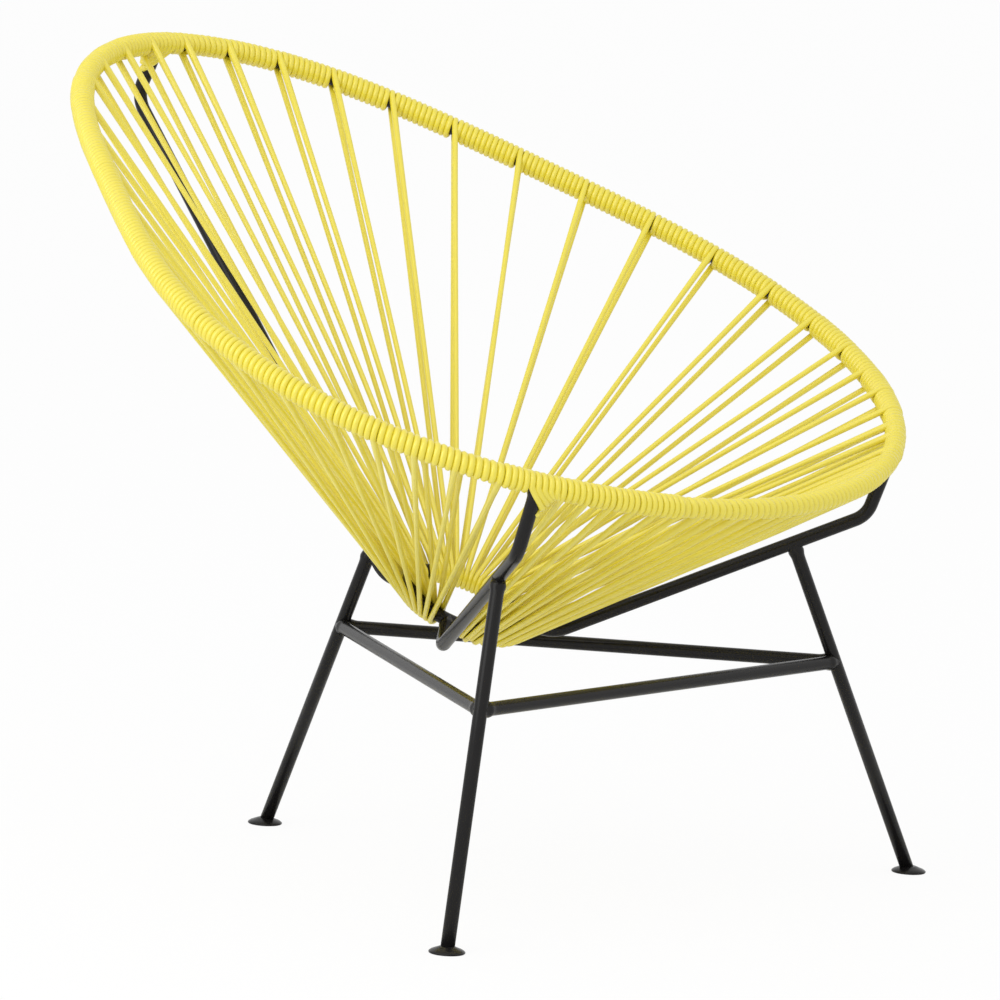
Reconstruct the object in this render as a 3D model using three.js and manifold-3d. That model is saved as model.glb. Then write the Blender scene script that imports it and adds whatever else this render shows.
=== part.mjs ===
// A round lounge chair: a welded steel frame on three legs, and a seat of plastic cord.
// Millimetres, +Z up, the chair faces -Y. The origin is on the floor under the middle of the chair.
// "left" and "right" are the sitter's own, so left is +X.

import * as THREE from 'three';
import { mergeVertices } from 'three/addons/utils/BufferGeometryUtils.js';
import Module from 'manifold-3d';

// Driving dimensions: the steel
const rodDiameter = 12.5;
const fitGap = 0.3;

// Driving dimensions: the hoop, an egg-shaped rim that leans back
const hoopMeanRadius = 398;
const hoopCentreHeight = 534.7;
const hoopTiltDegrees = 23.96;
const hoopSideDrop = 9.3;
const hoopOutlineShares = [[2, 0.0339], [3, 0.0687], [4, 0.0189]];

// Driving dimensions: the small ring under the seat, parallel to the hoop
const ringRadius = 54;
const ringCentreHeight = 241.4;

// Driving dimensions: the three arms that join the hoop and the ring.
// An elbow is set from the arm's joint on the hoop, and a lower bend from its joint on the ring
const elbowRadius = 25;
const lowerBendRadius = 30;
const frontArmHoopDegrees = 140.8;
const frontArmRingDegrees = 117.5;
const frontElbowInset = 4.6;
const frontElbowSetback = 22.3;
const frontElbowDrop = 64.6;
const backElbowOverhang = 25.3;
const backElbowDrop = 52.2;
const lowerBendOverhang = 33.5;
const lowerBendDrop = 20.35;

// Driving dimensions: legs, stretchers and feet.
// A front foot is set from its elbow, and the back foot from the back arm's lower bend
const frontFootSplay = 82.1;
const frontFootLead = 14.3;
const backFootSetback = 137.3;
const stretcherHeight = 198.3;
const frontLegSeatShare = 0.231;
const backLegSeatShare = 0.924;
const footDiameter = 32;
const footRimThickness = 1.6;
const footDomeHeight = 6;

// Driving dimensions: the cord
const cordDiameter = 4.8;
const turnGap = 0.6;
const shownTurns = 12;
const cordPairGap = 3.2;
const frontSpanClearance = 30;
const frontStationCount = 10;

// Where the cord leaves the hoop, in degrees from the back: the cord's own route, chosen by hand
const sideStationDegrees = [
  10.6, 17.7, 25.1, 33.3, 42.7, 53.2, 64.2, 75.2,
  85.4, 95.2, 103.5, 111.1, 117.5, 123.5, 129.2, 134.1,
];

// Facets
const hoopSteps = 80;
const ringSteps = 32;
const rodSides = 10;
const boreSides = 8;
const cordSides = 6;
const bendSteps = 4;
const turnSteps = 24;
const ringWrapSteps = 6;

const rodRadius = rodDiameter / 2;
const cordRadius = cordDiameter / 2;
const woundRadius = rodRadius + fitGap + cordDiameter;
const turnRadius = rodRadius + fitGap + cordRadius;
const turnPitch = cordDiameter + turnGap;
const cordPairOffset = (cordDiameter + cordPairGap) / 2;
const hoopTilt = THREE.MathUtils.degToRad(hoopTiltDegrees);
const rad = THREE.MathUtils.degToRad;

// Directions of the leaning plane that the hoop and the ring lie in
const across = new THREE.Vector3(1, 0, 0);
const upSlope = new THREE.Vector3(0, Math.cos(hoopTilt), Math.sin(hoopTilt));
const planeNormal = new THREE.Vector3(0, -Math.sin(hoopTilt), Math.cos(hoopTilt));

const wasm = await Module();
wasm.setup();

// The hoop's outline, measured from its centre at an angle from the back
function hoopReach(angle) {
  const shape = hoopOutlineShares.reduce((sum, [waves, share]) => sum + share * Math.cos(waves * angle), 1);
  return hoopMeanRadius * shape;
}

const hoopCentre = new THREE.Vector3(0, 0, hoopCentreHeight);
const ringCentre = new THREE.Vector3(0, 0, ringCentreHeight);

function hoopPoint(angle) {
  const reach = hoopReach(angle);
  const sideways = reach * Math.sin(angle);
  const drop = hoopSideDrop * (sideways / hoopMeanRadius) ** 2;
  return hoopCentre.clone()
    .addScaledVector(across, sideways)
    .addScaledVector(upSlope, reach * Math.cos(angle))
    .addScaledVector(planeNormal, -drop);
}

function hoopFrame(angle) {
  const probe = Math.PI / 720;
  const tangent = hoopPoint(angle + probe).sub(hoopPoint(angle - probe)).normalize();
  const side = new THREE.Vector3().crossVectors(tangent, planeNormal).normalize();
  const normal = new THREE.Vector3().crossVectors(side, tangent).normalize();
  return { centre: hoopPoint(angle), tangent, side, normal };
}

function ringFrame(angle) {
  const outward = across.clone().multiplyScalar(Math.sin(angle)).addScaledVector(upSlope, Math.cos(angle));
  const tangent = across.clone().multiplyScalar(Math.cos(angle)).addScaledVector(upSlope, -Math.sin(angle));
  const centre = ringCentre.clone().addScaledVector(outward, ringRadius);
  return { centre, tangent, side: outward.negate(), normal: planeNormal.clone() };
}

// Lengths along the hoop, so that windings and gaps can be laid out in real sizes
const measureSteps = 1440;
const hoopLengths = [0];
for (let i = 1; i <= measureSteps; i++) {
  const before = hoopPoint((i - 1) / measureSteps * 2 * Math.PI);
  const here = hoopPoint(i / measureSteps * 2 * Math.PI);
  hoopLengths.push(hoopLengths[i - 1] + here.distanceTo(before));
}
const hoopLength = hoopLengths[measureSteps];

function hoopLengthAt(angle) {
  const place = angle / (2 * Math.PI) * measureSteps;
  const index = Math.min(Math.floor(place), measureSteps - 1);
  return hoopLengths[index] + (place - index) * (hoopLengths[index + 1] - hoopLengths[index]);
}

function hoopAngleAt(length) {
  const inside = THREE.MathUtils.euclideanModulo(length, hoopLength);
  let index = hoopLengths.findIndex((value) => value > inside);
  index = index < 1 ? measureSteps : index;
  const step = hoopLengths[index] - hoopLengths[index - 1];
  return (index - 1 + (inside - hoopLengths[index - 1]) / step) / measureSteps * 2 * Math.PI;
}

// The frame at a length along the hoop, with its centre on the faceted tube's own straight facets
function tubeFrame(length) {
  const angle = hoopAngleAt(length);
  const place = angle / (2 * Math.PI) * hoopSteps;
  const index = Math.floor(place);
  const here = hoopPoint(index / hoopSteps * 2 * Math.PI);
  const next = hoopPoint((index + 1) / hoopSteps * 2 * Math.PI);
  return { ...hoopFrame(angle), centre: here.lerp(next, place - index) };
}

// A path made of ready stations, each with its point and direction
class StationPath extends THREE.Curve {
  constructor(stations) {
    super();
    this.stations = stations;
  }

  station(share) {
    return this.stations[Math.round(share * (this.stations.length - 1))];
  }

  getPoint(share) {
    return this.station(share).point.clone();
  }

  getPointAt(share) {
    return this.getPoint(share);
  }

  getTangentAt(share) {
    return this.station(share).tangent.clone();
  }
}

function ringOfPoints(radius, sides) {
  return Array.from({ length: sides }, (_, i) => {
    const turn = i / sides * 2 * Math.PI;
    return new THREE.Vector2(radius * Math.cos(turn), radius * Math.sin(turn));
  });
}

// A round bar, or a pipe where a bore is given, along a path
function tubeGeometry(stations, radius, sides, boreRadius = 0) {
  const section = new THREE.Shape(ringOfPoints(radius, sides));
  if (boreRadius > 0) {
    section.holes.push(new THREE.Path(ringOfPoints(boreRadius, boreSides)));
  }
  return new THREE.ExtrudeGeometry(section, {
    steps: stations.length - 1,
    bevelEnabled: false,
    extrudePath: new StationPath(stations),
  });
}

// A round bar whose ends meet, through frames that go once round
function closedTubeGeometry(frames, radius, sides) {
  const positions = [];
  const indices = [];
  frames.forEach((frame, i) => {
    const next = (i + 1) % frames.length;
    ringOfPoints(radius, sides).forEach((point, j) => {
      const corner = frame.centre.clone()
        .addScaledVector(frame.side, point.x)
        .addScaledVector(frame.normal, point.y);
      positions.push(...corner.toArray());
      const after = (j + 1) % sides;
      indices.push(i * sides + j, next * sides + after, i * sides + after);
      indices.push(i * sides + j, next * sides + j, next * sides + after);
    });
  });
  const geometry = new THREE.BufferGeometry();
  geometry.setAttribute('position', new THREE.Float32BufferAttribute(positions, 3));
  geometry.setIndex(indices);
  return geometry;
}

// Straight runs between corners, with each inner corner bent to its own radius
function bentStations(corners, bendRadii) {
  const stations = [];
  const directions = corners.slice(1).map((corner, i) => corner.clone().sub(corners[i]).normalize());
  stations.push({ point: corners[0], tangent: directions[0] });
  for (let i = 1; i < corners.length - 1; i++) {
    const before = directions[i - 1];
    const after = directions[i];
    const turn = before.angleTo(after);
    const bendRadius = bendRadii[i - 1];
    const start = corners[i].clone().addScaledVector(before, -bendRadius * Math.tan(turn / 2));
    const inward = after.clone().addScaledVector(before, -Math.cos(turn)).normalize();
    const middle = start.clone().addScaledVector(inward, bendRadius);
    for (let step = 0; step <= bendSteps; step++) {
      const angle = turn * step / bendSteps;
      const point = middle.clone()
        .addScaledVector(inward, -bendRadius * Math.cos(angle))
        .addScaledVector(before, bendRadius * Math.sin(angle));
      const tangent = before.clone()
        .multiplyScalar(Math.cos(angle))
        .addScaledVector(inward, Math.sin(angle));
      stations.push({ point, tangent });
    }
  }
  stations.push({ point: corners[corners.length - 1], tangent: directions[directions.length - 1] });
  return stations;
}

function straightStations(start, end) {
  return bentStations([start, end], []);
}

// Closed geometry to a solid that can be cut, and back
function toSolid(geometry) {
  const bare = geometry.clone();
  bare.deleteAttribute('normal');
  bare.deleteAttribute('uv');
  const merged = mergeVertices(bare);
  const mesh = new wasm.Mesh({
    numProp: 3,
    vertProperties: new Float32Array(merged.attributes.position.array),
    triVerts: new Uint32Array(merged.index.array),
  });
  return new wasm.Manifold(mesh);
}

function toGeometry(solid) {
  const mesh = solid.getMesh();
  const geometry = new THREE.BufferGeometry();
  const positions = [];
  for (let i = 0; i < mesh.vertProperties.length; i += mesh.numProp) {
    positions.push(...mesh.vertProperties.slice(i, i + 3));
  }
  geometry.setAttribute('position', new THREE.Float32BufferAttribute(positions, 3));
  geometry.setIndex(Array.from(mesh.triVerts));
  return geometry;
}

function cutAway(geometry, tools) {
  const solid = tools.reduce((left, tool) => left.subtract(toSolid(tool)), toSolid(geometry));
  return toGeometry(solid);
}

const chair = new THREE.Group();

function addSteel(name, geometry) {
  const material = new THREE.MeshStandardMaterial({ color: '#16181b', roughness: 0.42, metalness: 0.35 });
  const mesh = new THREE.Mesh(geometry, material);
  mesh.name = name;
  chair.add(mesh);
}

function addCord(name, geometry) {
  const material = new THREE.MeshStandardMaterial({ color: '#eadf5c', roughness: 0.38, metalness: 0 });
  const mesh = new THREE.Mesh(geometry, material);
  mesh.name = name;
  chair.add(mesh);
}

// The arms: from the hoop, round an elbow, down a long run, round a lower bend and up to the ring
function armCorners(hoopAngle, elbowOffset, ringAngle) {
  const hoopJoint = hoopPoint(hoopAngle);
  const ringJoint = ringFrame(ringAngle).centre;
  const reach = ringRadius + lowerBendOverhang;
  const lowerBend = new THREE.Vector3(
    reach * Math.sin(ringAngle),
    reach * Math.cos(ringAngle),
    ringJoint.z - lowerBendDrop,
  );
  return { hoopJoint, elbow: hoopJoint.clone().add(elbowOffset), lowerBend, ringJoint };
}

function frontArmCorners(side) {
  const elbowOffset = new THREE.Vector3(-side * frontElbowInset, frontElbowSetback, -frontElbowDrop);
  return armCorners(side * rad(frontArmHoopDegrees), elbowOffset, side * rad(frontArmRingDegrees));
}

function backArmCorners() {
  return armCorners(0, new THREE.Vector3(0, backElbowOverhang, -backElbowDrop), 0);
}

function armStations(arm) {
  const corners = [arm.hoopJoint, arm.elbow, arm.lowerBend, arm.ringJoint];
  return bentStations(corners, [elbowRadius, lowerBendRadius]);
}

// Each leg runs from the middle of its foot to a seat on the long run of its arm
function legEnds(arm, seatShare, footMiddle) {
  return [footMiddle, arm.elbow.clone().lerp(arm.lowerBend, seatShare)];
}

function frontFootMiddle(arm, side) {
  return new THREE.Vector3(arm.elbow.x + side * frontFootSplay, arm.elbow.y - frontFootLead, 0);
}

const arms = { back: backArmCorners(), left: frontArmCorners(1), right: frontArmCorners(-1) };
const footMiddles = {
  back: new THREE.Vector3(0, arms.back.lowerBend.y + backFootSetback, 0),
  left: frontFootMiddle(arms.left, 1),
  right: frontFootMiddle(arms.right, -1),
};
const legs = {
  back: legEnds(arms.back, backLegSeatShare, footMiddles.back),
  left: legEnds(arms.left, frontLegSeatShare, footMiddles.left),
  right: legEnds(arms.right, frontLegSeatShare, footMiddles.right),
};

// The rod's radius, or for a cutting tool the radius whose flats keep the clearance all round
function barRadius(clearance) {
  return clearance > 0 ? (rodRadius + clearance) / Math.cos(Math.PI / rodSides) : rodRadius;
}

function steelTube(stations, clearance = 0) {
  return tubeGeometry(stations, barRadius(clearance), rodSides);
}

// A domed disc with a thin rim, standing flat on the floor
function footGeometry(clearance) {
  const radius = footDiameter / 2 + clearance;
  const collar = rodRadius + clearance;
  const height = footDomeHeight + clearance;
  const rim = footRimThickness + clearance;
  const domeShares = [[0.25, 0.62], [0.6, 0.9]];
  const profile = [new THREE.Vector2(0, 0), new THREE.Vector2(radius, 0), new THREE.Vector2(radius, rim)];
  for (const [inShare, upShare] of domeShares) {
    const x = radius + (collar - radius) * inShare;
    profile.push(new THREE.Vector2(x, rim + (height - rim) * upShare));
  }
  profile.push(new THREE.Vector2(collar, height), new THREE.Vector2(0, height));
  const geometry = new THREE.LatheGeometry(profile, 2 * rodSides);
  geometry.rotateX(Math.PI / 2);
  return geometry;
}

function legPointAt(leg, height) {
  const share = height / leg[1].z;
  return leg[0].clone().lerp(leg[1], share);
}

function hoopTubeGeometry(clearance) {
  const frames = Array.from({ length: hoopSteps }, (_, i) => hoopFrame(i / hoopSteps * 2 * Math.PI));
  return closedTubeGeometry(frames, barRadius(clearance), rodSides);
}

function ringTubeGeometry(clearance) {
  const frames = Array.from({ length: ringSteps }, (_, i) => ringFrame(i / ringSteps * 2 * Math.PI));
  return closedTubeGeometry(frames, barRadius(clearance), rodSides);
}

// A leg's bar starts inside its foot, with the low edge of its slanting end just over the floor
function legBar(low, high) {
  const lean = high.clone().sub(low).angleTo(new THREE.Vector3(0, 0, 1));
  const startHeight = fitGap + rodRadius * Math.sin(lean);
  return steelTube(straightStations(low.clone().lerp(high, startHeight / high.z), high));
}

function addFrame() {
  addSteel('hoop_tube', hoopTubeGeometry(0));
  addSteel('seat_ring', ringTubeGeometry(0));
  for (const [place, arm] of Object.entries(arms)) {
    const bar = steelTube(armStations(arm));
    addSteel(`arm_${place}`, cutAway(bar, [hoopTubeGeometry(fitGap), ringTubeGeometry(fitGap)]));
  }
  for (const [place, [low, high]] of Object.entries(legs)) {
    const armTool = steelTube(armStations(arms[place]), fitGap);
    const footTool = footGeometry(fitGap);
    footTool.translate(low.x, low.y, low.z);
    addSteel(`leg_${place}`, cutAway(legBar(low, high), [armTool, footTool]));
    const foot = footGeometry(0);
    foot.translate(low.x, low.y, low.z);
    addSteel(`foot_${place}`, foot);
  }
  addStretchers();
}

// Each stretcher is coped to its two legs, and to the stretchers that are already there
function addStretchers() {
  const placed = [];
  const runs = [['left', 'back', 'left'], ['right', 'back', 'right'], ['front', 'left', 'right']];
  for (const [name, from, to] of runs) {
    const ends = [legPointAt(legs[from], stretcherHeight), legPointAt(legs[to], stretcherHeight)];
    const legTools = [from, to].map((place) => steelTube(straightStations(...legs[place]), fitGap));
    addSteel(`stretcher_${name}`, cutAway(steelTube(straightStations(...ends)), [...legTools, ...placed]));
    placed.push(steelTube(straightStations(...ends), fitGap));
  }
}

// The cord wound round the hoop: a plain skin between the arms, and real turns beside the right arm
function halfGapAtArm(place, hoopAngle) {
  const stub = arms[place].hoopJoint.clone().sub(arms[place].elbow).normalize();
  const slant = Math.abs(stub.dot(hoopFrame(hoopAngle).tangent));
  return (rodRadius + woundRadius * slant) / Math.sqrt(1 - slant * slant) + fitGap;
}

const backHalfGap = halfGapAtArm('back', 0);
const frontHalfGap = halfGapAtArm('left', rad(frontArmHoopDegrees));
const leftArmLength = hoopLengthAt(rad(frontArmHoopDegrees));
const rightArmLength = hoopLength - leftArmLength;
const turnsLength = (shownTurns + 1) * turnPitch;

function skinStations(start, end) {
  const steps = Array.from({ length: hoopSteps }, (_, i) => hoopLengthAt(i / hoopSteps * 2 * Math.PI));
  const inside = steps.filter((length) => length > start + cordDiameter && length < end - cordDiameter);
  return [start, ...inside, end].map((length) => {
    const frame = tubeFrame(length);
    return { point: frame.centre, tangent: frame.tangent };
  });
}

function addWindingSkins() {
  const boreRadius = (rodRadius + fitGap) / Math.cos(Math.PI / boreSides);
  const skins = {
    left: [backHalfGap, leftArmLength - frontHalfGap],
    front: [leftArmLength + frontHalfGap, rightArmLength - frontHalfGap - turnsLength - turnPitch],
    right: [rightArmLength + frontHalfGap, hoopLength - backHalfGap],
  };
  for (const [place, [start, end]] of Object.entries(skins)) {
    addCord(`winding_${place}`, tubeGeometry(skinStations(start, end), woundRadius, rodSides, boreRadius));
  }
}

function turnStations() {
  const start = rightArmLength - frontHalfGap - turnPitch / 2 - shownTurns * turnPitch;
  const stations = [];
  for (let i = 0; i <= shownTurns * turnSteps; i++) {
    const turns = i / turnSteps;
    const frame = tubeFrame(start + turns * turnPitch);
    const angle = turns * 2 * Math.PI - Math.PI / 2;
    const point = frame.centre.clone()
      .addScaledVector(frame.side, turnRadius * Math.cos(angle))
      .addScaledVector(frame.normal, turnRadius * Math.sin(angle));
    const tangent = frame.tangent.clone().multiplyScalar(turnPitch)
      .addScaledVector(frame.side, -turnRadius * 2 * Math.PI * Math.sin(angle))
      .addScaledVector(frame.normal, turnRadius * 2 * Math.PI * Math.cos(angle))
      .normalize();
    stations.push({ point, tangent });
  }
  const first = stations[0];
  const last = stations[stations.length - 1];
  const before = first.point.clone().addScaledVector(first.tangent, -cordDiameter);
  const after = last.point.clone().addScaledVector(last.tangent, cordDiameter);
  const lead = { point: before, tangent: first.tangent };
  const tail = { point: after, tangent: last.tangent };
  return [lead, ...stations, tail];
}

function leastTurnGap(stations) {
  let least = Infinity;
  stations.forEach((a, i) => {
    for (let j = i + turnSteps / 2; j < stations.length; j++) {
      least = Math.min(least, a.point.distanceTo(stations[j].point));
    }
  });
  return least - cordDiameter;
}

// One span: down from the hoop, round the ring from above to below, and back to the hoop
function spanStations(hoopAngle, ringAngle) {
  const hoop = tubeFrame(hoopLengthAt(hoopAngle));
  const ring = ringFrame(ringAngle);
  const away = hoop.centre.clone().sub(ring.centre);
  away.addScaledVector(ring.tangent, -away.dot(ring.tangent)).normalize();
  const above = new THREE.Vector3().crossVectors(ring.tangent, away).normalize();
  const wrapRadius = (rodRadius + fitGap) / Math.cos(Math.PI / ringWrapSteps / 2) + cordRadius;
  const wrap = [];
  for (let i = 0; i <= ringWrapSteps; i++) {
    const angle = Math.PI / 2 + Math.PI * i / ringWrapSteps;
    const point = ring.centre.clone()
      .addScaledVector(away, wrapRadius * Math.cos(angle))
      .addScaledVector(above, wrapRadius * Math.sin(angle));
    const tangent = away.clone()
      .multiplyScalar(-Math.sin(angle))
      .addScaledVector(above, Math.cos(angle));
    wrap.push({ point, tangent });
  }
  const ends = [-1, 1].map((side) => {
    const root = wrap[side < 0 ? 0 : ringWrapSteps].point;
    const target = hoop.centre.clone().addScaledVector(hoop.tangent, side * cordPairOffset);
    const run = target.clone().sub(root).normalize();
    const slant = Math.abs(run.dot(hoop.tangent));
    const stop = (woundRadius + fitGap + cordRadius * slant) / Math.sqrt(1 - slant * slant);
    return { point: target.addScaledVector(run, -stop), tangent: run.multiplyScalar(side) };
  });
  return [ends[0], ...wrap, ends[1]];
}

function spreadBetween(start, end, count) {
  return Array.from({ length: count }, (_, i) => start + (end - start) * i / (count - 1));
}

function addSpans() {
  const clear = (rodRadius + cordRadius + fitGap) / ringRadius;
  const ringArm = rad(frontArmRingDegrees);
  const full = 2 * Math.PI;
  const sideAngles = sideStationDegrees.map(rad);
  const sideRing = spreadBetween(clear, ringArm - clear, sideAngles.length);
  const frontClear = leftArmLength + frontHalfGap + frontSpanClearance;
  const frontAngles = spreadBetween(frontClear, hoopLength - frontClear, frontStationCount).map(hoopAngleAt);
  const frontRing = spreadBetween(ringArm + clear, full - ringArm - clear, frontStationCount);
  const places = [
    ...sideAngles.map((angle, i) => [angle, sideRing[i]]),
    ...frontAngles.map((angle, i) => [angle, frontRing[i]]),
    ...sideAngles.map((angle, i) => [full - angle, full - sideRing[i]]).reverse(),
  ];
  places.forEach(([hoopAngle, ringAngle], i) => {
    const name = `cord_span_${String(i + 1).padStart(2, '0')}`;
    addCord(name, tubeGeometry(spanStations(hoopAngle, ringAngle), cordRadius, cordSides));
  });
}

addFrame();
addWindingSkins();
const turns = turnStations();
console.log(`least gap between the shown turns: ${leastTurnGap(turns).toFixed(2)} mm`);
addCord('winding_turns', tubeGeometry(turns, cordRadius, cordSides));
addSpans();

// The whole chair is moved so that its origin lies midway between its front and its back
const middle = new THREE.Box3().setFromObject(chair).getCenter(new THREE.Vector3());
chair.position.y = -middle.y;

export default chair;
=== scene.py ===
import math

import bmesh
import bpy
from mathutils import Matrix, Vector


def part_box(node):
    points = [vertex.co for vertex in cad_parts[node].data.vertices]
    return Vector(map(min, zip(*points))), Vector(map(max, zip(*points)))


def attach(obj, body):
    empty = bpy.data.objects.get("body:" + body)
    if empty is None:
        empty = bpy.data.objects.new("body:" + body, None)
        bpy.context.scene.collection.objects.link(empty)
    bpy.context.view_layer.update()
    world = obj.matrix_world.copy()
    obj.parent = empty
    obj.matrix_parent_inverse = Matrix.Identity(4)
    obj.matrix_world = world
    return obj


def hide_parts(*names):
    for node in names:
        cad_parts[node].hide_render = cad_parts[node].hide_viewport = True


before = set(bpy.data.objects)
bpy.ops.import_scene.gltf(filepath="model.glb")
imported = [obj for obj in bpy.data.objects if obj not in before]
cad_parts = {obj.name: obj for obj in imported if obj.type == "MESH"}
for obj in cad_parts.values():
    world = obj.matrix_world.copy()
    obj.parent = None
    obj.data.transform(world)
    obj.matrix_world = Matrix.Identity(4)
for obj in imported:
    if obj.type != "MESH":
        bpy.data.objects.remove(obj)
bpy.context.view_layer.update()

bl_info = {
    "name": "Round Cord Chair",
    "version": (1, 0, 0),
    "blender": (4, 5, 0),
    "location": "3D Viewport > Sidebar > Cord Chair",
    "description": "Dresses a round chair of steel rod and plastic cord around its packed frame",
    "category": "Object",
}

BODY = "root"
FULL_TURN = 2 * math.pi
ACROSS = Vector((1, 0, 0))

# The egg shape of the hoop: waves round it, and their share of its mean radius
HOOP_WAVES = ((2, 0.0339), (3, 0.0687), (4, 0.0189))
MEASURE_STEPS = 1440

# How finely the round pieces are cut
HOOP_STEPS, HOOP_SIDES = 240, 20
RING_STEPS, RING_SIDES = 96, 24
ROD_SIDES = 28
CORD_SIDES = 8
FOOT_STEPS = 48
BEND_STEPS = 14
WELD_STEPS = 8

# How quickly a weld's swelling fades along its rod
WELD_SHARPNESS = 6

# The outline of a domed foot's rim and slope, as shares of its radius and of its height
FOOT_OUTLINE_SHARES = (
    (0, 0), (0.9625, 0), (1, 0.1), (1, 0.217), (0.9625, 0.333), (0.86, 0.517), (0.7, 0.683), (0.55, 0.84),
)
FOOT_COLLAR_SHARES = (1.2, 0.93)

# Points closer than this are one point
ROD_MERGE, FOOT_MERGE = 1e-6, 1e-5

# Where the front arms join the hoop and the seat ring, in degrees from the back
ARM_ON_HOOP = 140.8
ARM_ON_RING = 117.5

# Where the cord leaves the hoop on either side, in degrees from the back
LEFT_STATIONS = (
    3.8, 10.6, 17.7, 25.1, 33.3, 42.7, 53.2, 64.2, 75.2,
    85.4, 95.2, 103.5, 111.1, 117.5, 123.5, 129.2, 134.1, 138.1,
)
RIGHT_STATIONS = (
    2.4, 8.5, 15.9, 23.3, 31.5, 40.8, 51.2, 62.2, 73.1,
    83.2, 92.8, 101, 108.3, 114.8, 120.4, 125.5, 130.6, 136.1,
)

# How far apart the turns lie, up to each place round the hoop in degrees
TURN_PITCHES = (
    (20, 0.0064), (60, 0.0054), (130, 0.0056), (160, 0.0069), (200, 0.0070),
    (219, 0.0063), (240, 0.0065), (340, 0.0057), (360, 0.0061),
)


def seat_axis():
    """The upright line through the middle of the seat ring, as y."""
    low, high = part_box("seat_ring")
    return (low.y + high.y) / 2


AXIS_Y = seat_axis()


# Settings


def length(label, text, default):
    return bpy.props.FloatProperty(
        name=label, description=text, default=default, min=0, unit="LENGTH", precision=4)


def colour(label, text, default):
    return bpy.props.FloatVectorProperty(
        name=label, description=text, default=default, size=3, min=0, max=1, subtype="COLOR")


class SteelSettings(bpy.types.PropertyGroup):
    rod_radius: length("Rod radius", "Radius of every steel rod", 0.00625)
    elbow_radius: length("Elbow radius", "Radius of the upper bends in the arms", 0.025)
    lower_radius: length("Lower bend radius", "Radius of the lower bends in the arms", 0.03)
    hoop_radius: length("Hoop radius", "Mean radius of the egg-shaped hoop", 0.398)
    hoop_height: length("Hoop height", "Height of the hoop's centre over the floor", 0.5347)
    hoop_drop: length("Hoop side drop", "How far the hoop's sides hang below its plane", 0.0093)
    ring_radius: length("Ring radius", "Radius of the seat ring", 0.054)
    ring_height: length("Ring height", "Height of the seat ring's centre", 0.2414)
    foot_radius: length("Foot radius", "Radius of the domed feet", 0.016)
    foot_height: length("Foot height", "Height of the domed feet", 0.006)
    stretcher_height: length("Stretcher height", "Height of the stretchers on the legs", 0.1983)
    weld_swell: length("Weld swell", "How far a weld stands proud of its rod", 0.0012)
    weld_place: length("Weld place", "How far a weld's middle lies from the other rod's middle", 0.0085)
    elbow_inset: length("Elbow inset", "How far a front elbow lies inside its joint on the hoop", 0.0046)
    elbow_setback: length("Elbow setback", "How far a front elbow lies behind its joint", 0.0223)
    elbow_drop: length("Elbow drop", "How far a front elbow hangs below its joint", 0.0646)
    back_overhang: length("Back elbow overhang", "How far the back elbow lies behind its joint", 0.0253)
    back_drop: length("Back elbow drop", "How far the back elbow hangs below its joint", 0.0522)
    bend_overhang: length("Lower bend overhang", "How far a lower bend lies outside the seat ring", 0.0335)
    bend_drop: length("Lower bend drop", "How far a lower bend lies below the seat ring", 0.02035)
    tilt: bpy.props.FloatProperty(
        name="Tilt", description="How far the hoop leans back", default=math.radians(23.96), subtype="ANGLE")
    coat: colour("Powder coat", "Colour of the powder coat", (0.0065, 0.006, 0.006))


class CordSettings(bpy.types.PropertyGroup):
    radius: length("Cord radius", "Radius of the plastic cord", 0.0025)
    wound_radius: length(
        "Wound radius", "Radius of the cord where it is wound, before it is pressed flat", 0.0026)
    strand_gap: length("Strand gap", "How far apart the two strands of a span leave the hoop", 0.0034)
    ring_slide: length("Ring slide", "How far a loop moves along the ring as it goes round", 0.0026)
    cover: length("Arm cover", "How far past an arm a cord ends", 0.0125)
    start_gap: length("Start gap", "How far past an arm the next cord starts", 0.0122)
    fan_reach: length("Fan reach", "Stretch of hoop over which the turns by an arm lean", 0.037)
    fan_lean: length("Fan lean", "How far the last turn by an arm is pushed back under the hoop", 0.021)
    fan_drop: length("Fan drop", "How far the last turn by an arm hangs below the others", 0.020)
    fan_drop_reach: length("Fan drop reach", "Stretch of hoop over which the turns by an arm hang low", 0.025)
    front_margin: length("Front margin", "How far from an arm the front's spans begin", 0.024)
    ring_margin: length("Ring margin", "How far from a front arm the cord's loops on the ring begin", 0.0125)
    ring_stagger: length("Ring stagger", "How far every other loop at the front stands off the ring", 0.0022)
    front_spans: bpy.props.IntProperty(
        name="Front spans", description="Spans between the two front arms", default=22, min=2)
    plastic: colour("Cord", "Colour of the plastic cord", (0.83, 0.715, 0.055))


class StageSettings(bpy.types.PropertyGroup):
    key_power: bpy.props.FloatProperty(
        name="Key power", description="Strength of the main soft light", default=33, min=0, unit="POWER")
    fill_power: bpy.props.FloatProperty(
        name="Fill power", description="Strength of the weak light", default=16, min=0, unit="POWER")
    sky: bpy.props.FloatProperty(
        name="Sky", description="Strength of the light from all round", default=0.88, min=0, max=1)
    floor: colour("Floor", "Colour of the floor", (0.9, 0.9, 0.9))
    floor_glow: bpy.props.FloatProperty(
        name="Floor glow", description="Share of plain white in the floor that the camera sees",
        default=0.9, min=0, max=1)


def steel():
    return bpy.context.scene.chair_steel


def cord():
    return bpy.context.scene.chair_cord


# Hoop and ring


def slope_directions():
    """The directions of the leaning plane: up its slope, and square to it."""
    tilt = steel().tilt
    up_slope = Vector((0, math.cos(tilt), math.sin(tilt)))
    normal = Vector((0, -math.sin(tilt), math.cos(tilt)))
    return up_slope, normal


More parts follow.
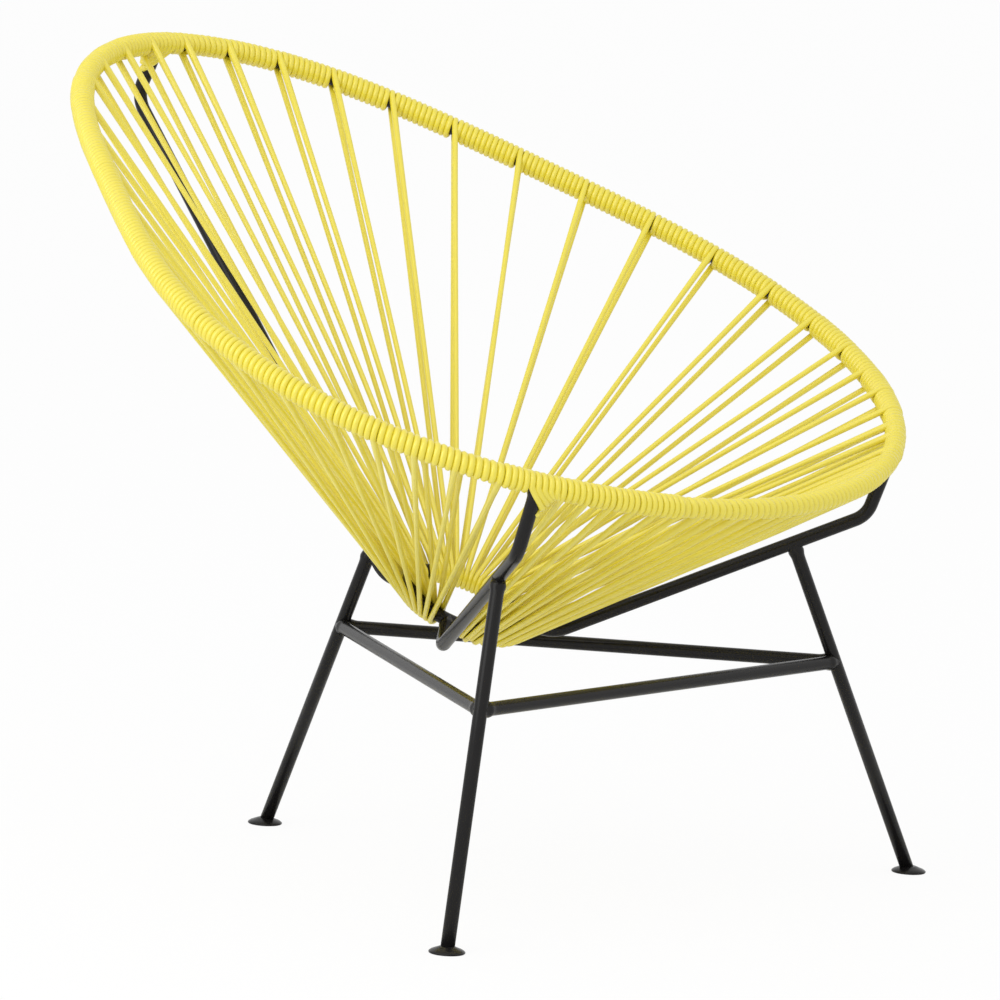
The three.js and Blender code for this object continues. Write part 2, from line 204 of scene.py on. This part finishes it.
def hoop_point(angle):
    size = steel()
    up_slope, normal = slope_directions()
    reach = size.hoop_radius * (1 + sum(share * math.cos(waves * angle) for waves, share in HOOP_WAVES))
    sideways = reach * math.sin(angle)
    drop = size.hoop_drop * (sideways / size.hoop_radius) ** 2
    centre = Vector((0, AXIS_Y, size.hoop_height))
    return centre + ACROSS * sideways + up_slope * reach * math.cos(angle) - normal * drop


def ring_point(angle):
    size = steel()
    up_slope, _ = slope_directions()
    outward = ACROSS * math.sin(angle) + up_slope * math.cos(angle)
    return Vector((0, AXIS_Y, size.ring_height)) + outward * size.ring_radius


def ring_tangent(angle):
    up_slope, _ = slope_directions()
    return ACROSS * math.cos(angle) - up_slope * math.sin(angle)


def measure_hoop():
    """Lengths along the hoop from the back, one for each small step of angle."""
    lengths = [0.0]
    before = hoop_point(0)
    for i in range(1, MEASURE_STEPS + 1):
        here = hoop_point(FULL_TURN * i / MEASURE_STEPS)
        lengths.append(lengths[-1] + (here - before).length)
        before = here
    return lengths


class Hoop:
    """The hoop's centre line, asked for by length along it from the back."""

    def __init__(self):
        self.lengths = measure_hoop()
        self.whole = self.lengths[-1]

    def length_at(self, angle):
        place = (angle % FULL_TURN) / FULL_TURN * MEASURE_STEPS
        index = int(place)
        return self.lengths[index] + (place - index) * (self.lengths[index + 1] - self.lengths[index])

    def angle_at(self, along):
        along %= self.whole
        low, high = 0, MEASURE_STEPS
        while high - low > 1:
            middle = (low + high) // 2
            if self.lengths[middle] > along:
                high = middle
            else:
                low = middle
        step = self.lengths[low + 1] - self.lengths[low]
        return FULL_TURN * (low + (along - self.lengths[low]) / step) / MEASURE_STEPS

    def frame(self, along):
        """The point, the direction along the hoop, and the direction square to it on the open side."""
        angle = self.angle_at(along)
        probe = FULL_TURN / MEASURE_STEPS
        point = hoop_point(angle)
        tangent = (hoop_point(angle + probe) - hoop_point(angle - probe)).normalized()
        _, normal = slope_directions()
        upward = (normal - tangent * normal.dot(tangent)).normalized()
        return point, tangent, upward


# The rods


SIDES = {"back": 0, "left": 1, "right": -1}

# The two legs that each stretcher joins
STRETCHERS = {"left": ("back", "left"), "right": ("back", "right"), "front": ("left", "right")}

# Where each leg meets its arm, as a share of the way from the elbow to the lower bend
LEG_SEAT_SHARES = {"back": 0.924, "left": 0.231, "right": 0.231}


def arm_corners(place):
    """Corners of an arm: its joint on the hoop, elbow, lower bend, and its joint on the ring."""
    size = steel()
    side = SIDES[place]
    ring_angle = side * math.radians(ARM_ON_RING)
    hoop_joint = hoop_point(side * math.radians(ARM_ON_HOOP))
    ring_joint = ring_point(ring_angle)
    elbow_offset = Vector((-side * size.elbow_inset, size.elbow_setback, -size.elbow_drop))
    if place == "back":
        elbow_offset = Vector((0, size.back_overhang, -size.back_drop))
    reach = size.ring_radius + size.bend_overhang
    lower_bend = Vector((
        reach * math.sin(ring_angle), AXIS_Y + reach * math.cos(ring_angle), ring_joint.z - size.bend_drop))
    return [hoop_joint, hoop_joint + elbow_offset, lower_bend, ring_joint]


def leg_ends(place):
    low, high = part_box(f"foot_{place}")
    base = Vector(((low.x + high.x) / 2, (low.y + high.y) / 2, 0))
    corners = arm_corners(place)
    return base, corners[1].lerp(corners[2], LEG_SEAT_SHARES[place])


def leg_point_at(place, height):
    base, top = leg_ends(place)
    return base.lerp(top, height / top.z)


def rounded(corners, radii):
    """Straight runs between corners, with each inner corner bent to its radius."""
    points = [corners[0].copy()]
    for before, here, after, radius in zip(corners, corners[1:], corners[2:], radii):
        arriving = (here - before).normalized()
        leaving = (after - here).normalized()
        turn = arriving.angle(leaving)
        start = here - arriving * radius * math.tan(turn / 2)
        inward = (leaving - arriving * math.cos(turn)).normalized()
        for step in range(BEND_STEPS + 1):
            angle = turn * step / BEND_STEPS
            across = inward * radius * (1 - math.cos(angle))
            points.append(start + across + arriving * radius * math.sin(angle))
    points.append(corners[-1].copy())
    return points


def welded(points, at_start=True, at_end=True):
    """A rod's points and their shares of its radius, swollen by a weld near its ends."""
    size = steel()
    shares = [1.0] * len(points)
    for wanted, last in ((at_start, False), (at_end, True)):
        if not wanted:
            continue
        end, inner = (points[-1], points[-2]) if last else (points[0], points[1])
        along = (inner - end).normalized()
        places, swells = [], []
        for step in range(WELD_STEPS + 1):
            away = size.weld_place * 2 * step / WELD_STEPS
            offset = (away - size.weld_place) / size.weld_place
            places.append(end + along * away)
            swells.append(1 + size.weld_swell / size.rod_radius * math.exp(-WELD_SHARPNESS * offset ** 2))
        if last:
            points = [*points[:-1], *reversed(places)]
            shares = [*shares[:-1], *reversed(swells)]
        else:
            points = [*places, *points[1:]]
            shares = [*swells, *shares[1:]]
    return points, shares


def swept(name, points, radius, sides, closed=False, radii=None):
    """A round bar along points, made as a bevelled curve and turned into a mesh."""
    curve = bpy.data.curves.new(name, "CURVE")
    curve.dimensions = "3D"
    curve.twist_mode = "MINIMUM"
    curve.bevel_depth = radius
    curve.bevel_resolution = (sides - 4) // 2
    curve.use_fill_caps = not closed
    spline = curve.splines.new("POLY")
    spline.points.add(len(points) - 1)
    flat = [value for point in points for value in (*point, 1)]
    spline.points.foreach_set("co", flat)
    if radii:
        spline.points.foreach_set("radius", radii)
    spline.use_cyclic_u = closed
    shape = bpy.data.objects.new(name + "_curve", curve)
    bpy.context.scene.collection.objects.link(shape)
    mesh = bpy.data.meshes.new_from_object(shape)
    bpy.data.objects.remove(shape)
    bpy.data.curves.remove(curve)
    mesh.name = name
    piece = bpy.data.objects.new(name, mesh)
    bpy.context.scene.collection.objects.link(piece)
    return piece


def tidy_mesh(piece):
    """Joins doubled points, turns faces outward and smooths the shading."""
    shape = bmesh.new()
    shape.from_mesh(piece.data)
    bmesh.ops.remove_doubles(shape, verts=shape.verts, dist=ROD_MERGE)
    bmesh.ops.recalc_face_normals(shape, faces=shape.faces)
    shape.to_mesh(piece.data)
    shape.free()
    piece.data.shade_smooth()


def dress(piece, material, slot, *nodes):
    piece.data.materials.clear()
    piece.data.materials.append(material)
    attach(piece, BODY)
    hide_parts(*nodes)


# Materials


# The sockets of a Mix node set to colours
MIX_FROM, MIX_TO, MIX_RESULT = 6, 7, 2

# How much lighter or darker the blotches are than the colour itself
COAT_SHADE_SHARE = 1.5
CORD_SHADE_SHARES = (0.96, 0.94, 0.8)


def group_node(tree, group, **values):
    node = tree.nodes.new("ShaderNodeGroup")
    node.node_tree = group
    for name, value in values.items():
        node.inputs[name].default_value = value
    return node


def surface_grain():
    """One shared effect: soft blotches of tone and a fine bumpy skin, on Object coordinates."""
    if "surface_grain" in bpy.data.node_groups:
        return bpy.data.node_groups["surface_grain"]
    group = bpy.data.node_groups.new("surface_grain", "ShaderNodeTree")
    sockets = group.interface
    for name, kind, default in (
        ("Colour", "NodeSocketColor", (0.5, 0.5, 0.5, 1)),
        ("Shade", "NodeSocketColor", (0.4, 0.4, 0.4, 1)),
        ("Blotch Scale", "NodeSocketFloat", 30.0),
        ("Skin Scale", "NodeSocketFloat", 900.0),
        ("Low Roughness", "NodeSocketFloat", 0.3),
        ("High Roughness", "NodeSocketFloat", 0.4),
    ):
        socket = sockets.new_socket(name=name, in_out="INPUT", socket_type=kind)
        socket.default_value = default
    sockets.new_socket(name="Tone", in_out="OUTPUT", socket_type="NodeSocketColor")
    sockets.new_socket(name="Roughness", in_out="OUTPUT", socket_type="NodeSocketFloat")
    sockets.new_socket(name="Skin", in_out="OUTPUT", socket_type="NodeSocketFloat")
    nodes, links = group.nodes, group.links
    given = nodes.new("NodeGroupInput")
    result = nodes.new("NodeGroupOutput")
    place = nodes.new("ShaderNodeTexCoord")
    blotch = nodes.new("ShaderNodeTexNoise")
    blotch.inputs["Detail"].default_value = 3
    skin = nodes.new("ShaderNodeTexNoise")
    skin.inputs["Detail"].default_value = 2
    mix = nodes.new("ShaderNodeMix")
    mix.data_type = "RGBA"
    rough = nodes.new("ShaderNodeMapRange")
    links.new(place.outputs["Object"], blotch.inputs["Vector"])
    links.new(place.outputs["Object"], skin.inputs["Vector"])
    links.new(given.outputs["Blotch Scale"], blotch.inputs["Scale"])
    links.new(given.outputs["Skin Scale"], skin.inputs["Scale"])
    links.new(blotch.outputs["Fac"], mix.inputs["Factor"])
    links.new(given.outputs["Colour"], mix.inputs[MIX_FROM])
    links.new(given.outputs["Shade"], mix.inputs[MIX_TO])
    links.new(blotch.outputs["Fac"], rough.inputs["Value"])
    links.new(given.outputs["Low Roughness"], rough.inputs["To Min"])
    links.new(given.outputs["High Roughness"], rough.inputs["To Max"])
    links.new(mix.outputs[MIX_RESULT], result.inputs["Tone"])
    links.new(rough.outputs["Result"], result.inputs["Roughness"])
    links.new(skin.outputs["Fac"], result.inputs["Skin"])
    return group


def coated_material(name, tone, shade, blotch, skin, roughness, bump_strength, bump_depth, specular):
    """A Principled material whose tone, roughness and skin come from the shared grain."""
    if name in bpy.data.materials:
        return bpy.data.materials[name]
    material = bpy.data.materials.new(name)
    material.use_nodes = True
    tree = material.node_tree
    shader = tree.nodes["Principled BSDF"]
    shader.inputs["Specular IOR Level"].default_value = specular
    grain = group_node(tree, surface_grain(), **{
        "Colour": (*tone, 1), "Shade": (*shade, 1), "Blotch Scale": blotch, "Skin Scale": skin,
        "Low Roughness": roughness[0], "High Roughness": roughness[1],
    })
    bumps = tree.nodes.new("ShaderNodeBump")
    bumps.inputs["Strength"].default_value = bump_strength
    bumps.inputs["Distance"].default_value = bump_depth
    tree.links.new(grain.outputs["Tone"], shader.inputs["Base Color"])
    tree.links.new(grain.outputs["Roughness"], shader.inputs["Roughness"])
    tree.links.new(grain.outputs["Skin"], bumps.inputs["Height"])
    tree.links.new(bumps.outputs["Normal"], shader.inputs["Normal"])
    return material


# The two finishes, named unlike the frame's own materials so that they are made anew


def powder_coat():
    tone = Vector(steel().coat)
    return coated_material(
        "satin_powder_coat", tone, tone * COAT_SHADE_SHARE, blotch=45, skin=1400,
        roughness=(0.22, 0.3), bump_strength=0.1, bump_depth=0.0001, specular=0.22)


def cord_plastic():
    tone = Vector(cord().plastic)
    shade = tone * Vector(CORD_SHADE_SHARES)
    return coated_material(
        "glossy_cord_plastic", tone, shade, blotch=25, skin=120,
        roughness=(0.28, 0.36), bump_strength=0.01, bump_depth=0.0001, specular=1)


# Operators


class ChairOperator:
    bl_options = {"REGISTER", "UNDO"}


class CHAIR_OT_arms(ChairOperator, bpy.types.Operator):
    """Make the three bent arms that join the hoop and the seat ring"""
    bl_idname = "chair.arms"
    bl_label = "Make Arms"

    def execute(self, context):
        for place in SIDES:
            points, shares = welded(rounded(arm_corners(place), (steel().elbow_radius, steel().lower_radius)))
            piece = swept(f"bent_arm_{place}", points, steel().rod_radius, ROD_SIDES, radii=shares)
            tidy_mesh(piece)
            dress(piece, powder_coat(), "frame_steel", f"arm_{place}")
        return {"FINISHED"}


class CHAIR_OT_legs(ChairOperator, bpy.types.Operator):
    """Make the three legs and the three stretchers between them"""
    bl_idname = "chair.legs"
    bl_label = "Make Legs"

    def execute(self, context):
        for place in SIDES:
            _, top = leg_ends(place)
            start = leg_point_at(place, steel().foot_height / 2)
            points, shares = welded([start, top], at_start=False)
            piece = swept(f"leg_rod_{place}", points, steel().rod_radius, ROD_SIDES, radii=shares)
            tidy_mesh(piece)
            dress(piece, powder_coat(), "frame_steel", f"leg_{place}")
        height = steel().stretcher_height
        for name, (start, end) in STRETCHERS.items():
            points, shares = welded([leg_point_at(start, height), leg_point_at(end, height)])
            piece = swept(f"stretcher_rod_{name}", points, steel().rod_radius, ROD_SIDES, radii=shares)
            tidy_mesh(piece)
            dress(piece, powder_coat(), "frame_steel", f"stretcher_{name}")
        return {"FINISHED"}


class CHAIR_OT_feet(ChairOperator, bpy.types.Operator):
    """Make the domed feet"""
    bl_idname = "chair.feet"
    bl_label = "Make Feet"

    def execute(self, context):
        radius, height, rod = steel().foot_radius, steel().foot_height, steel().rod_radius
        outline = [(radius * outward, height * upward) for outward, upward in FOOT_OUTLINE_SHARES]
        wide, low = FOOT_COLLAR_SHARES
        outline += [(rod * wide, height * low), (rod, height), (0, height)]
        for place in SIDES:
            base, _ = leg_ends(place)
            shape = bmesh.new()
            verts = [shape.verts.new(base + Vector((x, 0, z))) for x, z in outline]
            edges = [shape.edges.new(pair) for pair in zip(verts, verts[1:])]
            bmesh.ops.spin(
                shape, geom=verts + edges, cent=base, axis=(0, 0, 1), angle=FULL_TURN,
                steps=FOOT_STEPS, use_merge=True)
            bmesh.ops.remove_doubles(shape, verts=shape.verts, dist=FOOT_MERGE)
            bmesh.ops.recalc_face_normals(shape, faces=shape.faces)
            mesh = bpy.data.meshes.new(f"domed_foot_{place}")
            shape.to_mesh(mesh)
            shape.free()
            mesh.shade_smooth()
            piece = bpy.data.objects.new(f"domed_foot_{place}", mesh)
            bpy.context.scene.collection.objects.link(piece)
            dress(piece, powder_coat(), "frame_steel", f"foot_{place}")
        return {"FINISHED"}


class CHAIR_OT_rings(ChairOperator, bpy.types.Operator):
    """Make the smooth hoop tube and the seat ring"""
    bl_idname = "chair.rings"
    bl_label = "Make Hoop and Ring"

    def execute(self, context):
        hoop = [hoop_point(FULL_TURN * i / HOOP_STEPS) for i in range(HOOP_STEPS)]
        piece = swept("hoop_rod", hoop, steel().rod_radius, HOOP_SIDES, closed=True)
        tidy_mesh(piece)
        dress(piece, powder_coat(), "frame_steel", "hoop_tube")
        ring = [ring_point(FULL_TURN * i / RING_STEPS) for i in range(RING_STEPS)]
        piece = swept("ring_rod", ring, steel().rod_radius, RING_SIDES, closed=True)
        tidy_mesh(piece)
        dress(piece, powder_coat(), "frame_steel", "seat_ring")
        return {"FINISHED"}


# Cords


def turn_pitch(angle):
    """How far apart the turns lie at an angle round the hoop."""
    degrees = math.degrees(angle)
    return next(pitch for limit, pitch in TURN_PITCHES if degrees <= limit)


class Stretch:
    """One length of cord: it winds round the hoop from arm to arm and dips to the ring at each station."""

    turn_steps = 28
    wrap_steps = 12
    strand_steps = 3

    # Angles round the hoop at which turns start and end, from its open side toward the ring
    under = -math.pi
    top = 0.0
    tucked = 0.9 * math.pi

    # How much wider a turn is than its share of the hoop, because the turns press on each other
    press = 1.1

    # How fast the fan's lean and drop fade toward the hoop's far side and away from the arm
    lean_fade = 1.6
    drop_fade = 2
    drop_start_fade = 1.5

    def __init__(self, hoop, start_arm, end_arm, stations, ring_angles, end_elbow, stagger=0.0):
        self.hoop = hoop
        self.start = start_arm + cord().start_gap
        self.end = end_arm + cord().cover
        self.stations = stations
        self.ring_angles = ring_angles
        self.end_elbow = end_elbow
        self.stagger = stagger
        self.middle = Vector((0, AXIS_Y, steel().ring_height))
        self.strand_height = steel().rod_radius + cord().radius

    def directions(self, along):
        """The point on the hoop, its direction, and the directions to the ring and square to that."""
        point, tangent, upward = self.hoop.frame(along)
        toward = self.middle - point
        toward = (toward - tangent * toward.dot(tangent)).normalized()
        square = toward.cross(tangent).normalized()
        if square.dot(upward) < 0:
            square.negate()
        return point, tangent, toward, square

    def fan(self, along, spot, point, tangent):
        """The last turns before an arm lean back along the hoop and hang down where the arm leaves it."""
        size = cord()
        left = self.end - along
        if left > size.fan_reach:
            return spot
        low = self.end_elbow - point
        low = (low - tangent * low.dot(tangent)).normalized()
        facing = max(0.0, (spot - point).normalized().dot(low))
        lean = size.fan_lean * (1 - left / size.fan_reach) * facing ** self.lean_fade
        near = max(0.0, 1 - left / size.fan_drop_reach)
        drop = size.fan_drop * near ** self.drop_start_fade * facing ** self.drop_fade
        return spot - tangent * lean + low * drop

    def helix(self, start, end, last):
        """Turns along the hoop, from under it to the last angle, and how wide they are pressed."""
        pitch = turn_pitch(self.hoop.angle_at((start + end) / 2))
        part = (last - self.under) / FULL_TURN
        turns = max(1, round((end - start) / pitch - part))
        sweep = (turns + part) * FULL_TURN
        wound_radius = cord().wound_radius
        flatness = max(1.0, (end - start) / (turns + part) / (2 * wound_radius))
        half_width = wound_radius * flatness * self.press
        height = steel().rod_radius + 2 * wound_radius / flatness - half_width
        steps = round((turns + part) * self.turn_steps)
        points = []
        for i in range(steps + 1):
            along = start + (end - start) * i / steps
            angle = self.under + sweep * i / steps
            point, tangent, toward, square = self.directions(along)
            spot = point + (square * math.cos(angle) + toward * math.sin(angle)) * height
            points.append(self.fan(along, spot, point, tangent))
        return points, [half_width / cord().radius] * len(points)

    def loop(self, along, ring_angle, lift):
        """From the hoop down to the ring, round its inner side, and back under it."""
        point = self.hoop.frame(along)[0]
        centre = ring_point(ring_angle)
        along_ring = ring_tangent(ring_angle)
        away = point - centre
        away = (away - along_ring * away.dot(along_ring)).normalized()
        _, normal = slope_directions()
        above = (normal - along_ring * normal.dot(along_ring) - away * normal.dot(away)).normalized()
        radius = steel().rod_radius + cord().radius + lift
        points = []
        for i in range(self.wrap_steps + 1):
            angle = math.pi / 2 + math.pi * i / self.wrap_steps
            slide = along_ring * cord().ring_slide * (i / self.wrap_steps - 0.5)
            points.append(centre + slide + (away * math.cos(angle) + above * math.sin(angle)) * radius)
        return points

    def path(self):
        """The points of the whole cord, and how thick it is at each as a share of its radius."""
        points, shares = [], []
        place = self.start
        half = cord().strand_gap / 2
        for count, (along, ring_angle) in enumerate(zip(self.stations, self.ring_angles)):
            turns, widths = self.helix(place, along - half, self.top)
            wrap = self.loop(along, ring_angle, self.stagger * (count % 2))
            place = along + half
            point, tangent, _, square = self.directions(place)
            arrive = self.fan(place, point - square * self.strand_height, point, tangent)
            span = [*self.between(turns[-1], wrap[0]), *wrap, *self.between(wrap[-1], arrive)]
            points += [*turns, *span]
            shares += [*widths, *[1.0] * len(span)]
        turns, widths = self.helix(place, self.end, self.tucked)
        return [*points, *turns], [*shares, *widths]

    def between(self, start, end):
        return [start.lerp(end, i / (self.strand_steps + 1)) for i in range(1, self.strand_steps + 1)]


def spread(start, end, count):
    return [start + (end - start) * i / (count - 1) for i in range(count)]


def cord_stretches():
    """The three cords, each from one arm to the next, all wound the same way round the hoop."""
    hoop = Hoop()
    left_arm = hoop.length_at(math.radians(ARM_ON_HOOP))
    right_arm = hoop.whole - left_arm
    left_ring = math.radians(ARM_ON_RING)
    right_ring = FULL_TURN - left_ring
    clear = (steel().rod_radius + cord().radius) / steel().ring_radius
    margin = cord().ring_margin / steel().ring_radius
    left_stations = [hoop.length_at(math.radians(angle)) for angle in LEFT_STATIONS]
    right_stations = [hoop.length_at(math.radians(360 - angle)) for angle in reversed(RIGHT_STATIONS)]
    edge = cord().front_margin
    front_stations = spread(left_arm + edge, right_arm - edge, cord().front_spans)
    return {
        "left": Stretch(
            hoop, 0, left_arm, left_stations,
            spread(clear, left_ring - margin, len(left_stations)), arm_corners("left")[1]),
        "front": Stretch(
            hoop, left_arm, right_arm, front_stations,
            spread(left_ring + margin, right_ring - margin, len(front_stations)), arm_corners("right")[1],
            stagger=cord().ring_stagger),
        "right": Stretch(
            hoop, right_arm, hoop.whole, right_stations,
            spread(right_ring + margin, FULL_TURN - clear, len(right_stations)), arm_corners("back")[1]),
    }


# The spans of the frame that each cord stands for: the first, and the one after the last
SPANS = {"left": (1, 17), "front": (17, 27), "right": (27, 43)}


class CHAIR_OT_cords(ChairOperator, bpy.types.Operator):
    """Wind and string the cord on each side and across the front"""
    bl_idname = "chair.cords"
    bl_label = "String the Cord"

    def execute(self, context):
        for name, stretch in cord_stretches().items():
            points, shares = stretch.path()
            piece = swept(f"cord_{name}", points, cord().radius, CORD_SIDES, radii=shares)
            tidy_mesh(piece)
            nodes = [f"winding_{name}", *(f"cord_span_{i:02d}" for i in range(*SPANS[name]))]
            if name == "front":
                nodes.append("winding_turns")
            dress(piece, cord_plastic(), "cord_plastic", *nodes)
        return {"FINISHED"}


# Stage


# Where the soft lights hang, how wide they are, and the height over the floor at which they aim
KEY_PLACE = (-3.2, 0.5, 1.6)
FILL_PLACE = (-2.0, -1.0, 3.2)
LAMP_SIZE = 2.4
AIM_HEIGHT = 0.35

FLOOR_HALF_WIDTH = 12
FLOOR_ROUGHNESS = 0.9
FLOOR_SPECULAR = 0.1

# The camera's place, its turns to the side, up and about its own line of sight, its focal length in picture
# widths, and the width of its sensor and how far it sees
CAMERA_PLACE = (-5.1786, -4.2800, 1.2290)
CAMERA_TURN = (0.88535, -0.13175, 0.05801)
CAMERA_FOCAL = 7.40886
CAMERA_SENSOR = 36
CAMERA_REACH = 100

# The spot of the picture that the camera was solved for, as shares of its width and height
AIM_SHARES = (0.48049, 0.49387)


def camera_directions(yaw, pitch, roll):
    forward = Vector((math.sin(yaw) * math.cos(pitch), math.cos(yaw) * math.cos(pitch), math.sin(pitch)))
    level = forward.cross(Vector((0, 0, 1))).normalized()
    square = level.cross(forward).normalized()
    right = level * math.cos(roll) + square * math.sin(roll)
    return forward, right, right.cross(forward).normalized()


class CHAIR_OT_stage(ChairOperator, bpy.types.Operator):
    """Make the floor, the lights, the white surroundings and the camera"""
    bl_idname = "chair.stage"
    bl_label = "Set the Stage"

    def execute(self, context):
        scene = context.scene
        settings = scene.chair_stage
        scene.view_settings.view_transform = "Standard"
        self.make_floor(settings)
        self.make_world(scene, settings)
        self.make_lamp("key_light", KEY_PLACE, settings.key_power)
        self.make_lamp("fill_light", FILL_PLACE, settings.fill_power)
        self.make_camera(scene)
        return {"FINISHED"}

    def make_floor(self, settings):
        shape = bmesh.new()
        bmesh.ops.create_grid(shape, x_segments=1, y_segments=1, size=FLOOR_HALF_WIDTH)
        mesh = bpy.data.meshes.new("floor")
        shape.to_mesh(mesh)
        shape.free()
        floor = bpy.data.objects.new("floor", mesh)
        bpy.context.scene.collection.objects.link(floor)
        material = bpy.data.materials.new("floor")
        material.use_nodes = True
        nodes, links = material.node_tree.nodes, material.node_tree.links
        shader = nodes["Principled BSDF"]
        shader.inputs["Base Color"].default_value = (*settings.floor, 1)
        shader.inputs["Roughness"].default_value = FLOOR_ROUGHNESS
        shader.inputs["Specular IOR Level"].default_value = FLOOR_SPECULAR
        glow = nodes.new("ShaderNodeEmission")
        glow.inputs["Color"].default_value = (1, 1, 1, 1)
        path = nodes.new("ShaderNodeLightPath")
        share = nodes.new("ShaderNodeMath")
        share.operation = "MULTIPLY"
        share.inputs[1].default_value = settings.floor_glow
        mix = nodes.new("ShaderNodeMixShader")
        links.new(path.outputs["Is Camera Ray"], share.inputs[0])
        links.new(share.outputs["Value"], mix.inputs["Fac"])
        links.new(shader.outputs["BSDF"], mix.inputs[1])
        links.new(glow.outputs["Emission"], mix.inputs[2])
        links.new(mix.outputs["Shader"], nodes["Material Output"].inputs["Surface"])
        mesh.materials.append(material)

    def make_world(self, scene, settings):
        world = bpy.data.worlds.new("surroundings")
        world.use_nodes = True
        scene.world = world
        nodes, links = world.node_tree.nodes, world.node_tree.links
        back = nodes["Background"]
        path = nodes.new("ShaderNodeLightPath")
        seen = nodes.new("ShaderNodeMath")
        seen.operation = "MAXIMUM"
        also = nodes.new("ShaderNodeMath")
        also.operation = "MAXIMUM"
        level = nodes.new("ShaderNodeMapRange")
        links.new(path.outputs["Is Camera Ray"], seen.inputs[0])
        links.new(path.outputs["Is Glossy Ray"], seen.inputs[1])
        links.new(seen.outputs["Value"], also.inputs[0])
        links.new(path.outputs["Is Transmission Ray"], also.inputs[1])
        links.new(also.outputs["Value"], level.inputs["Value"])
        level.inputs["To Min"].default_value = settings.sky
        level.inputs["To Max"].default_value = 1
        links.new(level.outputs["Result"], back.inputs["Strength"])
        back.inputs["Color"].default_value = (1, 1, 1, 1)

    def make_lamp(self, name, place, power):
        lamp = bpy.data.lights.new(name, "AREA")
        lamp.size = LAMP_SIZE
        lamp.energy = power
        shape = bpy.data.objects.new(name, lamp)
        shape.location = place
        aim = Vector((0, 0, AIM_HEIGHT)) - Vector(place)
        shape.rotation_euler = aim.to_track_quat("-Z", "Y").to_euler()
        bpy.context.scene.collection.objects.link(shape)

    def make_camera(self, scene):
        forward, right, up = camera_directions(*CAMERA_TURN)
        sideways, downward = (0.5 - share for share in AIM_SHARES)
        forward = (forward + right * sideways / CAMERA_FOCAL - up * downward / CAMERA_FOCAL).normalized()
        right = (right - forward * right.dot(forward)).normalized()
        up = right.cross(forward).normalized()
        camera = bpy.data.cameras.new("camera")
        camera.sensor_width = CAMERA_SENSOR
        camera.lens = CAMERA_FOCAL * CAMERA_SENSOR
        camera.clip_end = CAMERA_REACH
        shape = bpy.data.objects.new("camera", camera)
        turned = Matrix((right, up, -forward)).transposed().to_4x4()
        turned.translation = Vector(CAMERA_PLACE)
        shape.matrix_world = turned
        scene.collection.objects.link(shape)
        scene.camera = shape


class CHAIR_PT_panel(bpy.types.Panel):
    """Lists the chair's pieces"""
    bl_idname = "CHAIR_PT_panel"
    bl_label = "Cord Chair"
    bl_space_type = "VIEW_3D"
    bl_region_type = "UI"
    bl_category = "Cord Chair"

    def draw(self, context):
        for operator in OPERATORS:
            self.layout.operator(operator.bl_idname)


OPERATORS = (CHAIR_OT_rings, CHAIR_OT_arms, CHAIR_OT_legs, CHAIR_OT_feet, CHAIR_OT_cords, CHAIR_OT_stage)
SETTINGS = {"chair_steel": SteelSettings, "chair_cord": CordSettings, "chair_stage": StageSettings}


def register():
    for settings in SETTINGS.values():
        bpy.utils.register_class(settings)
    for name, settings in SETTINGS.items():
        setattr(bpy.types.Scene, name, bpy.props.PointerProperty(type=settings))
    for operator in (*OPERATORS, CHAIR_PT_panel):
        bpy.utils.register_class(operator)


def unregister():
    for operator in reversed((*OPERATORS, CHAIR_PT_panel)):
        bpy.utils.unregister_class(operator)
    for name in SETTINGS:
        delattr(bpy.types.Scene, name)
    for settings in reversed(SETTINGS.values()):
        bpy.utils.unregister_class(settings)


def main():
    register()
    bpy.ops.chair.rings()
    bpy.ops.chair.arms()
    bpy.ops.chair.legs()
    bpy.ops.chair.feet()
    bpy.ops.chair.cords()
    bpy.ops.chair.stage()


if __name__ == "__main__":
    main()
